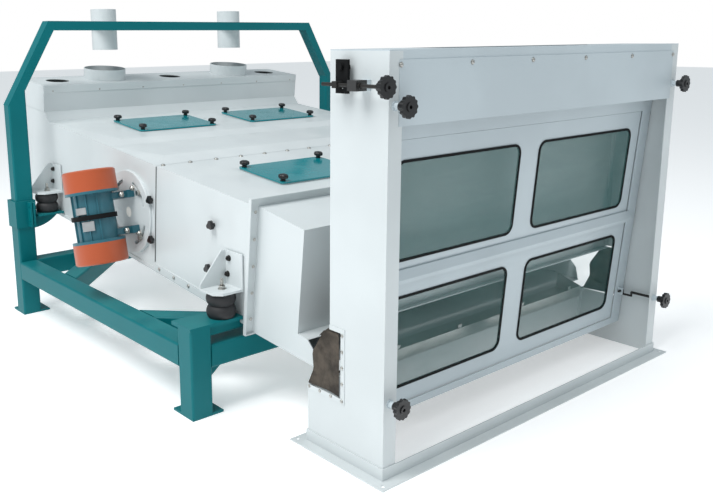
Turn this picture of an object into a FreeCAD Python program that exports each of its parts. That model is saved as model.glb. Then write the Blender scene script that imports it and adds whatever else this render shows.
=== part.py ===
import FreeCAD, Part
import os
from math import sin, cos, tan, radians, degrees, atan2, pi

# Vibrating grain sieve with its free-standing aspiration channel, in millimetres.
# X is the machine's width, Y runs from the discharge end (-) to the feed end (+), Z is up.
# Every Y below is measured from the front face of the aspiration channel; export() moves
# the whole machine back by MIDDLE_Y, so that the origin is the middle of its footprint.

V = FreeCAD.Vector
MIDDLE_Y = 1205.0

# ---- driving dimensions -------------------------------------------------------------------
# base frame, box section
FRAME_HALF = 952.0            # outer face of the legs
TUBE = 80.0                   # legs and beams, square
TUBE_WALL = 4.0
LEG_Y = 654.0                 # front face of the front legs
POST_Y = 2049.0               # front face of the rear posts
BEAM_LOW = 165.0              # underside of the side and cross beams
FOOT = 120.0                  # foot plate, square
FOOT_THICK = 8.0
ANCHOR_R = 7.0
LEG_TOP = 303.0
ARM_TOP = 315.0
# gantry arch over the feed end
POST_DEPTH = 60.0
POST_JOIN = 460.0             # height where the lower and the upper post meet
BEND_OUT_Z = 941.0
BEND_IN_Z = 1004.0
ARCH_HALF = 748.0             # outer corner at the top
ARCH_TOP = 1296.0
ARCH_TUBE = 40.0
# rubber springs
SPRING_X = 800.0
SPRING_FRONT_Y = 700.0
SPRING_REAR_Y = 2075.0
SPRING_R = 50.0
SPRING_H = 85.0
SHELF_TOP = 455.0
# sieve body, drawn level and then inclined about a line across the machine
SLOPE = 5.74                  # degrees, falling to the discharge end
PIVOT_Y = 1300.0
PIVOT_Z = 768.0
BODY_HALF = 740.0
BODY_LOW = 355.0
DECK = 768.0                  # upper edge of the side panels, before inclining
BODY_FRONT = 595.0
BODY_REAR = 2430.0
SEAM_Y = 1188.0               # joint between the front deck and the main deck
SHEET = 3.0
FLANGE_HALF = 755.0
# feed box
BOX_FRONT = 2180.0
BOX_REAR = 2444.0
BOX_LOW = 806.0
BOX_TOP = 926.0
BOX_HALF = 743.0
COLLAR_Y = 2312.0
COLLAR_X = 370.0
COLLAR_R = 100.0
COLLAR_H = 52.0
SIGHT_HOLES_X = (-616.0, 0.0, 616.0)
SIGHT_HOLE_R = 54.0
# inlet pipes under the gantry
PIPE_X = 368.0
PIPE_Y = 2275.0
PIPE_R = 60.0
PIPE_LOW = 1166.0
PIPE_TOP = 1357.0
# hatches
HATCH_X = 300.0
HATCH_REAR_Y = 1855.0
HATCH_FRONT_Y = 875.0
HATCH_W = 400.0
HATCH_L = 265.0
# vibration motors
MOTOR_X = 895.0
MOTOR_Y = 1395.0
MOTOR_Z = 552.0
MOTOR_TILT = 13.0             # degrees, the upper end leaning to the feed end
DISC_R = 165.0
DISC_T = 12.0
SLOT_R = 124.0
# aspiration channel
CHANNEL_HALF = 750.0
CHANNEL_DEPTH = 220.0
CHANNEL_FOOT = 318.0
CHANNEL_TOP = 1185.0
NOTCH_Y = 172.0
NOTCH_LOW = 190.0
NOTCH_TOP = 390.0
FLANGE_W = 50.0
ANGLE = 40.0
ANGLE_T = 4.0
HEADER_LOW = 990.0
# window wall, drawn upright and then tilted about its upper hooks
WALL_HALF = 742.0
WALL_TILT = 4.35
WALL_PIVOT_Y = 71.0
WALL_PIVOT_Z = 1044.0
WALL_LOW = 90.0
WALL_TOP = 1072.0
STILE = 58.0
# hand wheels
WHEEL_R = 30.0
WHEEL_Y = -46.0
HOOK_X = 727.0
LOWER_HOOK_Z = 228.0
DAMPER_Y = 150.0
DAMPER_Z = 1140.0
DAMPER_ROD_X = -792.0
DAMPER_ROD_Z = 1095.0


# ---- small helpers ------------------------------------------------------------------------
def box(x0, x1, y0, y1, z0, z1):
    return Part.makeBox(x1 - x0, y1 - y0, z1 - z0, V(x0, y0, z0))


def rod(radius, start, end):
    axis = V(*end) - V(*start)
    return Part.makeCylinder(radius, axis.Length, V(*start), axis)


def polygon_face(points):
    return Part.Face(Part.makePolygon([V(*p) for p in points + points[:1]]))


def prism_x(outline, x0, x1):
    """Extrude a (y, z) outline from x0 to x1."""
    return polygon_face([(x0, y, z) for y, z in outline]).extrude(V(x1 - x0, 0, 0))


def prism_y(outline, y0, y1):
    """Extrude an (x, z) outline from y0 to y1."""
    return polygon_face([(x, y0, z) for x, z in outline]).extrude(V(0, y1 - y0, 0))


def prism_z(outline, z0, z1):
    """Extrude an (x, y) outline from z0 to z1."""
    return polygon_face([(x, y, z0) for x, y in outline]).extrude(V(0, 0, z1 - z0))


def rounded_face(width, height, radius):
    """Rounded rectangle about the origin in the XY plane."""
    plate = Part.makeBox(width, height, 1.0, V(-width / 2, -height / 2, 0))
    upright = [e for e in plate.Edges if abs(e.Vertexes[0].Z - e.Vertexes[1].Z) > 0.5]
    rounded = plate.makeFillet(radius, upright)
    return min(rounded.Faces, key=lambda f: f.CenterOfMass.z)


def rounded_plate(width, height, radius, thick):
    face = rounded_face(width, height, radius)
    return face.extrude(V(0, 0, thick))


def tube(start, end, width, height, wall=TUBE_WALL):
    """Box section from start to end; an upright one has its width along X, others across."""
    axis = V(*end) - V(*start)
    across = V(1, 0, 0)
    if abs(axis.x) + abs(axis.y) > 0.1:
        across = axis.cross(V(0, 0, 1))
    outer = rounded_plate(width, height, 2 * wall, axis.Length)
    inner = rounded_plate(width - 2 * wall, height - 2 * wall, wall, axis.Length)
    bar = outer.cut(inner)
    bar.Placement = FreeCAD.Placement(V(*start), FreeCAD.Rotation(across, V(0, 0, 0), axis, "ZXY"))
    return bar


def mirrored(shape):
    return shape.mirror(V(0, 0, 0), V(1, 0, 0))


def both_sides(shapes):
    """The left-hand shapes and their mirror images on the right."""
    return shapes + [mirrored(s) for s in shapes]


def incline(shape):
    """Tilt a shape of the level sieve body to its working slope."""
    copy = shape.copy()
    copy.rotate(V(0, PIVOT_Y, PIVOT_Z), V(1, 0, 0), SLOPE)
    return copy


def tilt_wall(shape):
    """Lean a shape of the upright window wall back about its upper hooks."""
    copy = shape.copy()
    copy.rotate(V(0, WALL_PIVOT_Y, WALL_PIVOT_Z), V(1, 0, 0), WALL_TILT)
    return copy


def hexahedron(low, high):
    """Solid between two four-sided outlines with the same order of corners."""
    low = [V(*p) for p in low]
    high = [V(*p) for p in high]
    faces = [Part.Face(Part.makePolygon(low + low[:1])), Part.Face(Part.makePolygon(high + high[:1]))]
    for i in range(4):
        j = (i + 1) % 4
        faces.append(Part.Face(Part.makePolygon([low[i], low[j], high[j], low[i]])))
        faces.append(Part.Face(Part.makePolygon([low[i], high[j], high[i], low[i]])))
    solid = Part.Solid(Part.Shell(faces))
    if solid.Volume < 0:
        solid.reverse()
    return solid


def lobed_face(lobes, radius, depth):
    """Knob outline: round lobes joined by shallow valleys, as alternating arcs."""
    half = pi / lobes
    edges = []
    for i in range(lobes):
        at = 2 * half * i
        tip = V(radius * cos(at), radius * sin(at), 0)
        left = V((radius - depth / 2) * cos(at - half / 2), (radius - depth / 2) * sin(at - half / 2), 0)
        right = V((radius - depth / 2) * cos(at + half / 2), (radius - depth / 2) * sin(at + half / 2), 0)
        valley = V((radius - depth) * cos(at + half), (radius - depth) * sin(at + half), 0)
        after = at + 2 * half
        onward = V((radius - depth / 2) * cos(after - half / 2), (radius - depth / 2) * sin(after - half / 2), 0)
        edges.append(Part.Arc(left, tip, right).toShape())
        edges.append(Part.Arc(right, valley, onward).toShape())
    return Part.Face(Part.Wire(edges))


def lobed_disc(lobes, radius, depth, thick):
    return lobed_face(lobes, radius, depth).extrude(V(0, 0, thick))


def place(shape, base, direction):
    """Move a shape drawn along +Z at the origin to base, pointing along direction."""
    copy = shape.copy()
    copy.Placement = FreeCAD.Placement(V(*base), FreeCAD.Rotation(V(0, 0, 1), V(*direction)))
    return copy


def export(name, shapes):
    """Write one node as a STEP file, moved so that the origin is the machine's middle."""
    group = [s.copy() for s in shapes]
    solids = []
    for shape in group:
        shape.translate(V(0, -MIDDLE_Y, 0))
        solids.extend(shape.Solids)
    node = solids[0] if len(solids) == 1 else Part.Compound(solids)
    node.exportStep("parts/" + name + ".step")
    print(name, len(solids), [round(v) for v in (node.BoundBox.XMin, node.BoundBox.XMax, node.BoundBox.YMin,
                                                 node.BoundBox.YMax, node.BoundBox.ZMin, node.BoundBox.ZMax)])


# ---- base frame ---------------------------------------------------------------------------
def foot_plate(outer_x, front_y):
    """Square plate welded under a leg; it runs inwards and back for one anchor bolt."""
    plate = box(outer_x, outer_x + FOOT, front_y, front_y + FOOT, 0, FOOT_THICK)
    return plate.cut(rod(ANCHOR_R, (outer_x + 100, front_y + 100, -1), (outer_x + 100, front_y + 100, 20)))


def foot_plates():
    return both_sides([foot_plate(-FRAME_HALF, LEG_Y), foot_plate(-FRAME_HALF, POST_Y)])


def upright(front_y, z0, z1, depth=TUBE):
    centre = (-FRAME_HALF + TUBE / 2, front_y + depth / 2)
    return tube((centre[0], centre[1], z0), (centre[0], centre[1], z1), TUBE, depth)


def frame_legs():
    return both_sides([upright(LEG_Y, FOOT_THICK, LEG_TOP), upright(POST_Y, FOOT_THICK, POST_JOIN)])


def frame_beams():
    z = BEAM_LOW + TUBE / 2
    x = FRAME_HALF - TUBE / 2
    side = tube((-x, LEG_Y + TUBE, z), (-x, POST_Y, z), TUBE, TUBE)
    inner = FRAME_HALF - TUBE
    cross = [tube((-inner, y + TUBE / 2, z), (inner, y + TUBE / 2, z), TUBE, TUBE) for y in (LEG_Y, POST_Y)]
    return both_sides([side]) + cross


def corner_brace(corner_y, away):
    """Diagonal box section between a side beam and a cross beam; away is the way it runs in Y."""
    inner = FRAME_HALF - TUBE
    near = 281.0
    far = near + TUBE * 2 ** 0.5
    z0 = BEAM_LOW
    middle = (near + far) / 2
    start = (-inner - 100, corner_y + away * (middle + 100), z0 + TUBE / 2)
    end = (-inner + middle + 100, corner_y - away * 100, z0 + TUBE / 2)
    bar = tube(start, end, TUBE, TUBE)
    room = box(-inner, -inner + far + 1, min(corner_y, corner_y + away * far), max(corner_y, corner_y + away * far),
               z0 - 1, z0 + TUBE + 1)
    return bar.common(room)


def corner_braces():
    return both_sides([corner_brace(LEG_Y + TUBE, 1), corner_brace(POST_Y, -1)])


def leg_gusset(y):
    inner = -FRAME_HALF + TUBE
    outline = [(inner, BEAM_LOW), (inner + 68, BEAM_LOW), (inner + 60, BEAM_LOW - 10), (inner + 8, BEAM_LOW - 52),
               (inner, BEAM_LOW - 52)]
    return prism_y(outline, y - 4, y + 4)


def leg_gussets():
    return both_sides([leg_gusset(LEG_Y + TUBE / 2), leg_gusset(POST_Y + TUBE / 2)])


def spring_arm():
    """Plate on top of a front leg, reaching inwards over a folded rib to carry the spring."""
    reach = -745.0
    plate = box(-FRAME_HALF, reach, LEG_Y, LEG_Y + 113, LEG_TOP, ARM_TOP)
    rib = box(-FRAME_HALF + TUBE, reach, LEG_Y + 20, LEG_Y + 60, LEG_TOP - 30, LEG_TOP)
    hollow = box(-FRAME_HALF + TUBE, reach - 4, LEG_Y + 24, LEG_Y + 56, LEG_TOP - 40, LEG_TOP)
    return plate.fuse(rib.cut(hollow)).removeSplitter()


def spring_arms():
    return both_sides([spring_arm()])


# ---- gantry -------------------------------------------------------------------------------
def gantry_post():
    """Upper post, cut off along the line where the sloping arch tube lands on it."""
    post = upright(POST_Y, POST_JOIN, BEND_IN_Z + 20, POST_DEPTH)
    keep = [(-FRAME_HALF, POST_JOIN), (-FRAME_HALF + TUBE, POST_JOIN), (-FRAME_HALF + TUBE, BEND_IN_Z),
            (-FRAME_HALF, BEND_OUT_Z)]
    return post.common(prism_y(keep, POST_Y - 1, POST_Y + POST_DEPTH + 1))


def gantry_posts():
    return both_sides([gantry_post()])


def arch_outline(inset):
    """Half-arch corners as (x, z), inset from the outside by the given amount."""
    slant = atan2(ARCH_TOP - BEND_OUT_Z, FRAME_HALF - ARCH_HALF)
    top_half = ARCH_HALF - inset * tan(slant / 2)
    return (top_half, ARCH_TOP - inset)


def gantry_arch():
    """Two sloping tubes and the top beam, mitred and welded into one arch."""
    y0 = POST_Y
    y1 = POST_Y + POST_DEPTH
    wall = 3.0
    outer_top = arch_outline(0)
    inner_top = arch_outline(ARCH_TUBE)
    foot_out = (FRAME_HALF, BEND_OUT_Z)
    foot_in = (FRAME_HALF - TUBE, BEND_IN_Z)
    right = [foot_in, foot_out, outer_top]
    left = [(-x, z) for x, z in reversed(right)]
    solid = prism_y(right + left + [(-inner_top[0], inner_top[1]), inner_top], y0, y1)
    void_out = arch_outline(wall)
    void_in = arch_outline(ARCH_TUBE - wall)
    slope = V(ARCH_HALF - FRAME_HALF, 0, ARCH_TOP - BEND_OUT_Z).normalize()
    reach = 460.0
    low_out = (void_out[0] - slope.x * reach, void_out[1] - slope.z * reach)
    low_in = (void_in[0] - slope.x * reach, void_in[1] - slope.z * reach)
    half = [low_in, low_out, void_out]
    other = [(-x, z) for x, z in reversed(half)]
    void = prism_y(half + other + [(-void_in[0], void_in[1]), void_in], y0 + wall, y1 - wall)
    return [solid.cut(void)]


def splice_collar():
    """Sleeve over the post joint, with a bolted lap flange and the shelf for the rear spring."""
    x0 = -FRAME_HALF - 6
    x1 = -FRAME_HALF + TUBE + 6
    y0 = POST_Y - 6
    y1 = POST_Y + TUBE + 6
    sleeve = box(x0, x1, y0, y1, 400, 520)
    sleeve = sleeve.cut(box(x0 + 6, x1 - 6, y0 + 6, y1 - 6, 399, 521))
    laps = box(-904, -896, y0 - 34, y0, 405, 515).fuse(box(-892, -884, y0 - 34, y0, 405, 515))
    for z in (428, 492):
        laps = laps.cut(rod(6, (-910, y0 - 18, z), (-880, y0 - 18, z)))
    shelf = box(x1, -745, SPRING_REAR_Y - 55, SPRING_REAR_Y + 55, SHELF_TOP - 8, SHELF_TOP)
    low = V(x1, SPRING_REAR_Y - 4, 388)
    bulge = V(-790, SPRING_REAR_Y - 4, 412)
    tip = V(-748, SPRING_REAR_Y - 4, SHELF_TOP - 8)
    corner = V(x1, SPRING_REAR_Y - 4, SHELF_TOP - 8)
    web = Part.Wire([Part.Arc(low, bulge, tip).toShape(), Part.makeLine(tip, corner), Part.makeLine(corner, low)])
    gusset = Part.Face(web).extrude(V(0, 8, 0))
    return sleeve.multiFuse([laps, shelf, gusset]).removeSplitter()


def splice_collars():
    return both_sides([splice_collar()])


def rubber_spring(x, y, z):
    """Double-bellows rubber spring between two flat ends."""
    h = SPRING_H
    r = SPRING_R
    waist = r - 9
    end = r - 7
    start = V(0, 0, 0)
    foot = V(end, 0, 0)
    first = V(r, 0, h * 0.27)
    neck = V(waist, 0, h / 2)
    second = V(r, 0, h * 0.73)
    head = V(end, 0, h)
    edges = [Part.makeLine(start, foot), Part.Arc(foot, first, neck).toShape(),
             Part.Arc(neck, second, head).toShape(), Part.makeLine(head, V(0, 0, h)),
             Part.makeLine(V(0, 0, h), start)]
    spring = Part.Face(Part.Wire(edges)).revolve(V(0, 0, 0), V(0, 0, 1), 360)
    spring.translate(V(x, y, z))
    return spring


def springs(y, z):
    return [rubber_spring(side * SPRING_X, y, z) for side in (-1, 1)]


def inlet_pipe(x):
    """Spout stub, and the flat plate that hangs it behind the gantry's beam."""
    z = 1274.0
    stub = rod(PIPE_R, (x, PIPE_Y, PIPE_LOW), (x, PIPE_Y, PIPE_TOP))
    plate = box(x - 75, x + 75, POST_Y + POST_DEPTH, PIPE_Y + 40, z, z + 8)
    return [stub.cut(rod(PIPE_R - SHEET, (x, PIPE_Y, PIPE_LOW - 1), (x, PIPE_Y, PIPE_TOP + 1))), plate.cut(stub)]


def inlet_pipes():
    return inlet_pipe(-PIPE_X) + inlet_pipe(PIPE_X)


# ---- sieve body ---------------------------------------------------------------------------
def side_panel():
    """Side sheet with its two slide rails for the sieve frames, raised under the feed box."""
    x = -BODY_HALF
    under = DECK - SHEET
    outline = [(BODY_FRONT, BODY_LOW), (BODY_REAR, BODY_LOW), (BODY_REAR, BOX_LOW), (BOX_FRONT, BOX_LOW),
               (BOX_FRONT, BOX_LOW - SHEET), (BOX_FRONT - 38, under), (BODY_FRONT, under)]
    panel = prism_x(outline, x, x + SHEET)
    rails = [box(x + SHEET, x + 28, BODY_FRONT + 20, 2130, z - 4, z) for z in (500, 640)]
    return incline(panel.multiFuse(rails).removeSplitter())


def side_panels():
    return both_sides([side_panel()])


def bottom_pan():
    """Tray under the body; its lips lap the side panels, high in front where the bolts run."""
    half = BODY_HALF + SHEET
    tray = box(-half, half, BODY_FRONT, BODY_REAR, BODY_LOW - SHEET, BODY_LOW + 30)
    inside = box(-BODY_HALF, BODY_HALF, BODY_FRONT - 1, BODY_REAR + 1, BODY_LOW, BODY_LOW + 31)
    low_lip = box(-half - 1, half + 1, SEAM_Y, BODY_REAR + 1, BODY_LOW + 12, BODY_LOW + 31)
    return [incline(tray.cut(inside).cut(low_lip))]


def raised_field(y_front, y_edge, y_rear, inset, rise_front, rise_rear, half):
    """Pressed field of a deck sheet: a low hipped hump that ends in a sloping front face."""
    low = [(-half, y_front, DECK), (half, y_front, DECK), (half, y_rear, DECK), (-half, y_rear, DECK)]
    high = [(-half + inset, y_edge, DECK + rise_front), (half - inset, y_edge, DECK + rise_front),
            (half - inset, y_rear, DECK + rise_rear), (-half + inset, y_rear, DECK + rise_rear)]
    return hexahedron(low, high)


def hatch_opening(x, y):
    return box(x - HATCH_W / 2 + 35, x + HATCH_W / 2 - 35, y - HATCH_L / 2 + 30, y + HATCH_L / 2 - 30, DECK - 40, DECK + 60)


def stud_places(x, y):
    return [(x + sx * (HATCH_W / 2 - 18), y + sy * (HATCH_L / 2 - 18)) for sx in (-1, 1) for sy in (-1, 1)]


def studs(x, y, base):
    return [rod(4, (px, py, base - 2), (px, py, base + 25)) for px, py in stud_places(x, y)]


REAR_SEAT = DECK + 9.5        # level of the rear hatches' seats
FRONT_SEAT = DECK + 3.0


def hatch_curb(x, y, base, seat):
    """Low frame on the deck that carries a hatch's gasket."""
    plate = rounded_plate(HATCH_W - 8, HATCH_L - 8, 14, seat - base)
    plate.translate(V(x, y, base))
    return plate.cut(hatch_opening(x, y))


def main_deck():
    """Pressed sheet from the seam to the feed box: two hipped fields, then an upturned edge."""
    half = BODY_HALF
    sheet = box(-half, half, SEAM_Y + 1, BOX_FRONT - 38, DECK - SHEET, DECK)
    fields = [raised_field(SEAM_Y + 14, 1280, 1546, 80, 12, 1, half - 8),
              raised_field(1550, 1618, BOX_FRONT - 40, 85, 11, 2, half - 4)]
    deck = sheet.multiFuse(fields)
    for field in fields:
        field.translate(V(0, 0, -SHEET))
        deck = deck.cut(field)
    for x in (-HATCH_X, HATCH_X):
        deck = deck.fuse(hatch_curb(x, HATCH_REAR_Y, DECK + 2, REAR_SEAT))
        deck = deck.cut(hatch_opening(x, HATCH_REAR_Y))
        deck = deck.multiFuse(studs(x, HATCH_REAR_Y, REAR_SEAT))
    edge = [(BOX_FRONT - 38, DECK - SHEET), (BOX_FRONT, BOX_LOW - SHEET), (BOX_FRONT, BOX_LOW), (BOX_FRONT - 38, DECK)]
    upturn = prism_x(edge, -half, half)
    return [incline(deck.fuse(upturn).removeSplitter())]


def front_deck():
    half = BODY_HALF
    deck = box(-half, half, BODY_FRONT, SEAM_Y - 1, DECK - SHEET, DECK)
    for x in (-HATCH_X, HATCH_X):
        deck = deck.fuse(hatch_curb(x, HATCH_FRONT_Y, DECK, FRONT_SEAT))
        deck = deck.cut(hatch_opening(x, HATCH_FRONT_Y))
        deck = deck.multiFuse(studs(x, HATCH_FRONT_Y, FRONT_SEAT))
    return [incline(deck.removeSplitter())]


def hatch(x, y, seat):
    """Lid: a plate on a narrower rubber edge, drilled for its four studs."""
    lid = rounded_plate(HATCH_W, HATCH_L, 16, 6)
    lid.translate(V(x, y, seat + 2))
    seal = rounded_plate(HATCH_W - 10, HATCH_L - 10, 12, 2)
    seal.translate(V(x, y, seat))
    lid = lid.fuse(seal)
    for px, py in stud_places(x, y):
        lid = lid.cut(rod(5, (px, py, seat - 1), (px, py, seat + 20)))
    return [incline(lid.removeSplitter())]


def feed_box():
    """Distribution box across the feed end, bolted up from folded sheets; two spout collars."""
    half = BOX_HALF
    inner = half - SHEET
    roof_low = BOX_TOP - SHEET
    front = box(-inner, inner, BOX_FRONT, BOX_FRONT + SHEET, BOX_LOW, roof_low)
    back = box(-inner, inner, BOX_REAR - SHEET, BOX_REAR, BOX_LOW, roof_low)
    left_end = box(-half, -inner, BOX_FRONT, BOX_REAR, BOX_LOW, roof_low)
    floor = box(-inner, inner, BODY_REAR + SHEET, BOX_REAR - SHEET, BOX_LOW, BOX_LOW + SHEET)
    apron = box(-half, half, BODY_REAR, BODY_REAR + SHEET, BODY_LOW, BOX_LOW)
    roof = box(-half, half, BOX_FRONT, BOX_REAR, roof_low, BOX_TOP)
    for side in (-1, 1):
        x = side * COLLAR_X
        roof = roof.fuse(rod(COLLAR_R, (x, COLLAR_Y, roof_low), (x, COLLAR_Y, BOX_TOP + COLLAR_H)))
        roof = roof.cut(rod(COLLAR_R - SHEET, (x, COLLAR_Y, roof_low - 1), (x, COLLAR_Y, BOX_TOP + COLLAR_H + 1)))
    for x in SIGHT_HOLES_X:
        roof = roof.cut(rod(SIGHT_HOLE_R, (x, COLLAR_Y, roof_low - 1), (x, COLLAR_Y, BOX_TOP + 1)))
    sheets = [front, back, left_end, mirrored(left_end), floor, apron, roof.removeSplitter()]
    return [incline(sheet) for sheet in sheets]


def discharge_hood():
    """Flanged hood over the discharge end, running down to an open spout."""
    half = 718.0
    face = BODY_FRONT - SHEET
    outer = [(face, 762), (363, 746), (363, 408), (318, 407), (287, 383), (268, 331), (face, 325)]
    inner = [(BODY_FRONT + 1, 759), (366, 743), (366, 405), (240, 405), (240, 334), (BODY_FRONT + 1, 328)]
    neck = prism_x(outer, -half, half).cut(prism_x(inner, -half + SHEET, half - SHEET))
    flange = box(-FLANGE_HALF, FLANGE_HALF, BODY_FRONT - 14, BODY_FRONT, 322, 792)
    flange = flange.cut(box(-FLANGE_HALF + SHEET, FLANGE_HALF - SHEET, BODY_FRONT - 15, face, 325, 789))
    flange = flange.cut(box(-half + SHEET, half - SHEET, BODY_FRONT - 20, BODY_FRONT + 1, 328, 759))
    return [incline(neck.fuse(flange).removeSplitter())]


def feed_lip():
    """Tray that carries the grain into the channel: floor, upturned weir and end plates."""
    half = 560.0
    floor = box(-half, half, 165, 268, 331, 334)
    weir = box(-half, half, 162, 165, 331, 372)
    end = [(165, 334), (268, 334), (268, 392), (165, 372)]
    ends = [prism_x(end, -half, -half + SHEET), prism_x(end, half - SHEET, half)]
    clips = [box(x - 9, x + 9, 165, 171, 340, 384) for x in (-470, -170, 180, 480)]
    return [incline(part) for part in [floor, weir] + ends + clips]


def spring_bracket(y, z):
    """Welded bracket on the side panel: back plate, seat plate and one gusset behind."""
    x = -BODY_HALF - SHEET
    out = -850.0
    back = box(x - 5, x, y - 50, y + 50, z, z + 125)
    seat = prism_z([(x - 5, y - 50), (out + 24, y - 50), (out, y - 26), (out, y + 50), (x - 5, y + 50)], z, z + 8)
    rib = [(x - 5, z + 8), (out, z + 8), (out, z + 22), (x - 20, z + 125), (x - 5, z + 125)]
    gusset = prism_y(rib, y + 44, y + 50)
    return [back, seat, gusset]


def spring_brackets():
    return both_sides(spring_bracket(SPRING_FRONT_Y, ARM_TOP + SPRING_H)
                      + spring_bracket(SPRING_REAR_Y, SHELF_TOP + SPRING_H))


def sieve_frame(z):
    """Wooden sieve frame made of bars: four run with the grain, rails and ribs lie across."""
    half = BODY_HALF - SHEET - 2
    y0 = BODY_FRONT + 25
    y1 = 2125.0
    bar = 45.0
    step_x = (2 * half - bar) / 3
    step_y = (y1 - y0 - bar) / 2
    bars = []
    for i in range(4):
        x = -half + i * step_x
        bars.append(box(x, x + bar, y0, y1, z, z + 40))
        if i < 3:
            for j in range(3):
                y = y0 + j * step_y
                bars.append(box(x + bar, x + step_x, y, y + bar, z, z + 40))
    return [incline(b) for b in bars]


def sieve_screen(z):
    half = BODY_HALF - SHEET - 2
    return incline(box(-half, half, BODY_FRONT + 25, 2125, z + 40, z + 42))


def side_knob(y, z):
    """Three-lobed clamp knob of the sieve frames, on the body's left flank."""
    knob = lobed_disc(3, 17, 6, 12)
    knob.translate(V(0, 0, 10))
    knob = knob.fuse(rod(7, (0, 0, 0), (0, 0, 11)))
    return place(knob, (-BODY_HALF, y, z), (-1, 0, 0))


def side_knobs():
    places = [(SEAM_Y + 22, 632), (SEAM_Y + 10, 478), (803, 645), (812, 486)]
    return both_sides([incline(side_knob(y, z)) for y, z in places])


# ---- vibration motors ---------------------------------------------------------------------
def motor_frame(shape):
    """Place a shape drawn about a vertical motor axis at the left motor."""
    copy = shape.copy()
    copy.rotate(V(0, 0, 0), V(1, 0, 0), -MOTOR_TILT)
    copy.translate(V(-MOTOR_X, MOTOR_Y, MOTOR_Z))
    return copy


DISC_FACE = MOTOR_X - BODY_HALF - DISC_T      # from the motor's axis to the disc's outer face


def arc_slot(middle):
    """Curved slot of 50 degrees through the adjusting disc, centred on the given angle."""
    ring = rod(SLOT_R + 7.5, (0, 0, -1), (0, 0, DISC_T + 1)).cut(rod(SLOT_R - 7.5, (0, 0, -2), (0, 0, DISC_T + 2)))
    half = radians(25)
    reach = SLOT_R * 2
    start = radians(middle) - half
    wedge = [(0, 0)] + [(reach * cos(start + k * half / 2), reach * sin(start + k * half / 2)) for k in range(5)]
    slot = ring.common(prism_z(wedge, -1, DISC_T + 1))
    for end in (-1, 1):
        at = radians(middle) + end * half
        centre = (SLOT_R * cos(at), SLOT_R * sin(at))
        slot = slot.fuse(rod(7.5, (centre[0], centre[1], -1), (centre[0], centre[1], DISC_T + 1)))
    return slot


SLOT_ANGLES = (45, 135, 225, 315)


def motor_disc():
    """Adjusting disc; it turns on its pivot and is clamped through four arc slots."""
    disc = rod(DISC_R, (0, 0, 0), (0, 0, DISC_T))
    rim = [e for e in disc.Edges if e.BoundBox.ZMin > DISC_T - 0.1 and len(e.Vertexes) == 1]
    disc = disc.makeChamfer(2, rim)
    disc = disc.cut(rod(20.3, (0, 0, -1), (0, 0, DISC_T + 1)))
    for angle in SLOT_ANGLES:
        disc = disc.cut(arc_slot(angle))
    return place(disc, (-BODY_HALF, MOTOR_Y, MOTOR_Z), (-1, 0, 0))


def disc_pins():
    """Pivot and clamp bolts of an adjusting disc, held by the side panel."""
    pins = [rod(20, (0, 0, 0), (0, 0, DISC_T))]
    for angle in SLOT_ANGLES:
        a = radians(angle)
        centre = (SLOT_R * cos(a), SLOT_R * sin(a))
        shank = rod(6, (centre[0], centre[1], 0), (centre[0], centre[1], DISC_T + 0.3))
        washer = rod(12, (centre[0], centre[1], DISC_T + 0.3), (centre[0], centre[1], DISC_T + 3))
        head = [(centre[0] + 10 * cos(radians(60 * k)), centre[1] + 10 * sin(radians(60 * k))) for k in range(6)]
        pins.append(shank.multiFuse([washer, prism_z(head, DISC_T + 3, DISC_T + 11)]))
    return [place(p, (-BODY_HALF, MOTOR_Y, MOTOR_Z), (-1, 0, 0)) for p in pins]


BODY_R = 76.0
COVER_R = 100.0
BODY_END = 88.0               # half length of the body between its end flanges
COVER_END = 178.0


def motor_body():
    """Motor: a cast barrel with ribs and end flanges, and two feet bolted to the disc."""
    casting = rod(BODY_R, (0, 0, -BODY_END), (0, 0, BODY_END))
    parts = []
    for side in (-1, 1):
        parts.append(rod(COVER_R, (0, 0, side * BODY_END), (0, 0, side * (BODY_END + 10))))
        parts.append(rod(40, (0, 0, side * (BODY_END + 9)), (0, 0, side * (BODY_END + 18))))
    for turn in (-75, -45, -15, 15, 45, 75):
        rib = box(-BODY_R - 6, -BODY_R + 4, -3, 3, -BODY_END, BODY_END)
        rib.rotate(V(0, 0, 0), V(0, 0, 1), turn)
        parts.append(rib)
    casting = casting.multiFuse(parts)
    casting = casting.cut(rod(50, (0, 0, -72), (0, 0, 72)))
    casting = casting.cut(rod(15.1, (0, 0, -120), (0, 0, 120)))
    feet = []
    for side in (-1, 1):
        z0 = min(side * 55, side * 84)
        pad = box(DISC_FACE - 30, DISC_FACE, -68, 68, z0, z0 + 29)
        web = box(40, DISC_FACE - 30, -52, 52, z0 + 3, z0 + 26)
        feet.append(pad.fuse(web).cut(rod(BODY_R, (0, 0, -120), (0, 0, 120))).removeSplitter())
    return [motor_frame(shape) for shape in [casting.removeSplitter()] + feet]


def motor_cover(side):
    """Drawn steel cap over the eccentric weights at one end of the motor."""
    start = BODY_END + 10
    cap = rod(COVER_R, (0, 0, start), (0, 0, COVER_END))
    rim = [e for e in cap.Edges if e.BoundBox.ZMin > COVER_END - 0.1 and len(e.Vertexes) == 1]
    cap = cap.makeChamfer(5, rim)
    cap = cap.cut(rod(COVER_R - SHEET, (0, 0, start - 1), (0, 0, COVER_END - SHEET)))
    if side < 0:
        cap = cap.mirror(V(0, 0, 0), V(0, 0, 1))
    return motor_frame(cap)


def motor_covers():
    return [motor_cover(1), motor_cover(-1)]


def cable_wrap():
    """Motor lead wound round the barrel; the ribs carry it."""
    band = rod(BODY_R + 14, (0, 0, -9), (0, 0, 9)).cut(rod(BODY_R + 6.3, (0, 0, -10), (0, 0, 10)))
    keep = box(-200, 58, -200, 200, -20, 20)
    return motor_frame(band.common(keep))


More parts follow.
